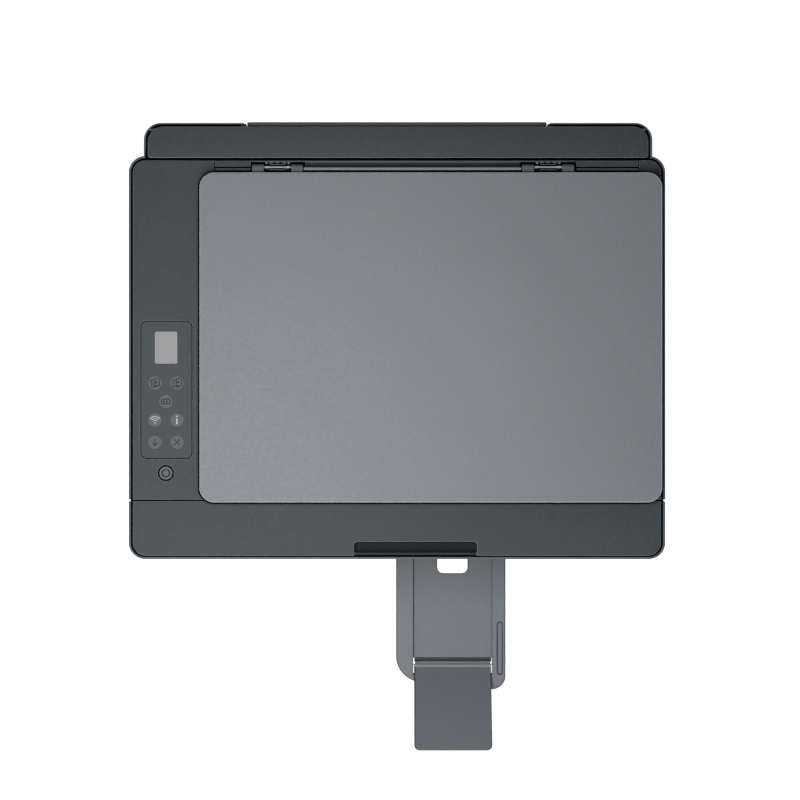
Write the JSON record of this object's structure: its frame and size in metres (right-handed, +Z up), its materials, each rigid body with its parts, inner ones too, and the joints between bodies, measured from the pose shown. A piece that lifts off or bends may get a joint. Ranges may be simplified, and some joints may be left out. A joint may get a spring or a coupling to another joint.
{
  "type": "inkjet printer",
  "caption": "Flatbed all-in-one ink-tank printer with a hinged scanner lid, lifting front door, rear paper input, control strip and a pull-out output tray with a folding flap.",
  "frame": {"origin": "middle of the whole footprint on the surface it stands on, with the output tray out and its flap unfolded", "axes": "+X to the user's right, +Y to the rear, +Z up"},
  "size_m": [0.435, 0.516, 0.157],
  "materials": {
    "shell": "fine-grained dark slate plastic",
    "dark": "fine-grained black plastic",
    "panel": "smooth dark slate plastic with printed symbols",
    "display": "unlit grey liquid-crystal window",
    "lid": "fine-grained mid-grey plastic",
    "foam": "white backing foam",
    "glass": "clear float glass",
    "tray": "fine-grained mid-grey plastic",
    "rubber": "matte black rubber",
    "steel": "galvanised sheet steel",
    "acetal": "off-white moulded gear plastic",
    "board": "green solder mask",
    "tank": "translucent tank plastic",
    "cap_black": "soft matte",
    "cap_cyan": "soft matte",
    "cap_magenta": "soft matte",
    "cap_yellow": "soft matte"
  },
  "bodies": {
    "chassis": {"base_tray": "dark", "left_cover": "shell", "right_cover": "shell", "rear_panel": "shell", "front_panel": "shell", "top_deck": "shell", "control_panel": "panel", "lcd_display": "display", "scanner_tub": "dark", "scanner_glass": "glass", "foot_front_left": "rubber", "foot_front_right": "rubber", "foot_rear_left": "rubber", "foot_rear_right": "rubber", "power_module": "dark", "logic_board": "board", "carriage_beam": "steel", "platen": "dark", "paper_ramp": "dark", "ink_tank_black": "tank", "ink_tank_color": "tank", "feed_motor": "steel", "carriage_motor": "steel", "drive_belt": "rubber"},
    "lid_hinges": {"lid_hinge_left": "dark", "lid_hinge_right": "dark"},
    "lid": {"scanner_lid": "lid", "lid_pad": "foam"},
    "door": {"front_door": "shell", "front_door_plate": "shell"},
    "rear_cover": {"input_cover": "shell"},
    "support": {"paper_support": "shell"},
    "guide_left": {"paper_guide_left": "tray"},
    "guide_right": {"paper_guide_right": "tray"},
    "tray": {"output_tray": "tray"},
    "flap": {"tray_flap": "tray"},
    "carriage": {"carriage": "dark", "printhead_black": "dark", "printhead_color": "tray"},
    "motor_pulley": {"motor_pulley": "acetal"},
    "idler_pulley": {"idler_pulley": "acetal"},
    "scan_bar": {"scan_bar": "dark"},
    "feed_roller": {"feed_roller": "rubber", "feed_gear": "acetal"},
    "idler_gear": {"idler_gear": "acetal"},
    "eject_roller": {"eject_roller": "dark", "eject_gear": "acetal"},
    "motor_pinion": {"motor_pinion": "acetal"},
    "cap_black": {"cap_black": "cap_black"},
    "cap_cyan": {"cap_cyan": "cap_cyan"},
    "cap_magenta": {"cap_magenta": "cap_magenta"},
    "cap_yellow": {"cap_yellow": "cap_yellow"},
    "button_color_copy": {"button_color_copy": "panel"},
    "button_black_copy": {"button_black_copy": "panel"},
    "button_id_copy": {"button_id_copy": "panel"},
    "button_wireless": {"button_wireless": "panel"},
    "button_info": {"button_info": "panel"},
    "button_resume": {"button_resume": "panel"},
    "button_cancel": {"button_cancel": "panel"},
    "button_power": {"button_power": "dark"}
  },
  "joints": [
    {"name": "hinge_lift", "type": "slide", "parent": "chassis", "child": "lid_hinges", "axis": [0, 0, 1], "range_m": [0, 0.012]},
    {"name": "lid_hinge", "type": "hinge", "parent": "lid_hinges", "child": "lid", "pos_m": [0.027, 0.22131, 0.1495], "axis": [-1, 0, 0], "range_deg": [0, 88]},
    {"name": "door_hinge", "type": "hinge", "parent": "chassis", "child": "door", "pos_m": [0, -0.05829, 0.143], "axis": [-1, 0, 0], "range_deg": [0, 78]},
    {"name": "rear_cover_hinge", "type": "hinge", "parent": "chassis", "child": "rear_cover", "pos_m": [0, 0.25211, 0.1456], "axis": [-1, 0, 0], "range_deg": [0, 88]},
    {"name": "support_slide", "type": "slide", "parent": "chassis", "child": "support", "axis": [0, 0, 1], "range_m": [0, 0.1]},
    {"name": "guide_left_slide", "type": "slide", "parent": "chassis", "child": "guide_left", "axis": [1, 0, 0], "range_m": [0, 0.058]},
    {"name": "guide_right_slide", "type": "slide", "parent": "chassis", "child": "guide_right", "axis": [-1, 0, 0], "range_m": [0, 0.058]},
    {"name": "tray_slide", "type": "slide", "parent": "chassis", "child": "tray", "axis": [0, 1, 0], "range_m": [0, 0.1]},
    {"name": "flap_hinge", "type": "hinge", "parent": "tray", "child": "flap", "pos_m": [0.0467, -0.18859, 0.0276], "axis": [-1, 0, 0], "range_deg": [0, 155]},
    {"name": "carriage_slide", "type": "slide", "parent": "chassis", "child": "carriage", "axis": [-1, 0, 0], "range_m": [0, 0.29]},
    {"name": "motor_pulley_spin", "type": "hinge", "parent": "chassis", "child": "motor_pulley", "pos_m": [0.195, 0.02471, 0.095], "axis": [0, 1, 0], "range_deg": [0, 2380]},
    {"name": "idler_pulley_spin", "type": "hinge", "parent": "chassis", "child": "idler_pulley", "pos_m": [-0.18, 0.02471, 0.095], "axis": [0, 1, 0], "range_deg": [0, 2380]},
    {"name": "scan_slide", "type": "slide", "parent": "chassis", "child": "scan_bar", "axis": [1, 0, 0], "range_m": [0, 0.285]},
    {"name": "feed_roller_spin", "type": "hinge", "parent": "chassis", "child": "feed_roller", "pos_m": [0, 0.02571, 0.057], "axis": [1, 0, 0], "continuous": true},
    {"name": "idler_gear_spin", "type": "hinge", "parent": "chassis", "child": "idler_gear", "pos_m": [-0.201, -0.00929, 0.057], "axis": [1, 0, 0], "continuous": true},
    {"name": "eject_roller_spin", "type": "hinge", "parent": "chassis", "child": "eject_roller", "pos_m": [0, -0.04429, 0.057], "axis": [1, 0, 0], "continuous": true},
    {"name": "motor_pinion_spin", "type": "hinge", "parent": "chassis", "child": "motor_pinion", "pos_m": [-0.201, 0.04674, 0.04172], "axis": [1, 0, 0], "continuous": true},
    {"name": "cap_black_hinge", "type": "hinge", "parent": "chassis", "child": "cap_black", "pos_m": [0.1387, -0.05909, 0.1064], "axis": [-1, 0, 0], "range_deg": [0, 100]},
    {"name": "cap_cyan_hinge", "type": "hinge", "parent": "chassis", "child": "cap_cyan", "pos_m": [0.163, -0.05909, 0.1064], "axis": [-1, 0, 0], "range_deg": [0, 100]},
    {"name": "cap_magenta_hinge", "type": "hinge", "parent": "chassis", "child": "cap_magenta", "pos_m": [0.1812, -0.05909, 0.1064], "axis": [-1, 0, 0], "range_deg": [0, 100]},
    {"name": "cap_yellow_hinge", "type": "hinge", "parent": "chassis", "child": "cap_yellow", "pos_m": [0.1994, -0.05909, 0.1064], "axis": [-1, 0, 0], "range_deg": [0, 100]},
    {"name": "button_color_copy_press", "type": "slide", "parent": "chassis", "child": "button_color_copy", "axis": [0, 0, -1], "range_m": [0, 0.0006], "stiffness_N_per_m": 400},
    {"name": "button_black_copy_press", "type": "slide", "parent": "chassis", "child": "button_black_copy", "axis": [0, 0, -1], "range_m": [0, 0.0006], "stiffness_N_per_m": 400},
    {"name": "button_id_copy_press", "type": "slide", "parent": "chassis", "child": "button_id_copy", "axis": [0, 0, -1], "range_m": [0, 0.0006], "stiffness_N_per_m": 400},
    {"name": "button_wireless_press", "type": "slide", "parent": "chassis", "child": "button_wireless", "axis": [0, 0, -1], "range_m": [0, 0.0006], "stiffness_N_per_m": 400},
    {"name": "button_info_press", "type": "slide", "parent": "chassis", "child": "button_info", "axis": [0, 0, -1], "range_m": [0, 0.0006], "stiffness_N_per_m": 400},
    {"name": "button_resume_press", "type": "slide", "parent": "chassis", "child": "button_resume", "axis": [0, 0, -1], "range_m": [0, 0.0006], "stiffness_N_per_m": 400},
    {"name": "button_cancel_press", "type": "slide", "parent": "chassis", "child": "button_cancel", "axis": [0, 0, -1], "range_m": [0, 0.0006], "stiffness_N_per_m": 400},
    {"name": "button_power_press", "type": "slide", "parent": "chassis", "child": "button_power", "axis": [0, 0, -1], "range_m": [0, 0.0008], "stiffness_N_per_m": 400}
  ],
  "couplings": [
    {"joint": "guide_right_slide", "follows": "guide_left_slide", "ratio": 1},
    {"joint": "motor_pulley_spin", "follows": "carriage_slide", "rad_per_m": 142.86},
    {"joint": "idler_pulley_spin", "follows": "carriage_slide", "rad_per_m": 142.86},
    {"joint": "idler_gear_spin", "follows": "feed_roller_spin", "ratio": -1.3333},
    {"joint": "eject_roller_spin", "follows": "feed_roller_spin", "ratio": 1},
    {"joint": "motor_pinion_spin", "follows": "feed_roller_spin", "ratio": -3.3333}
  ]
}
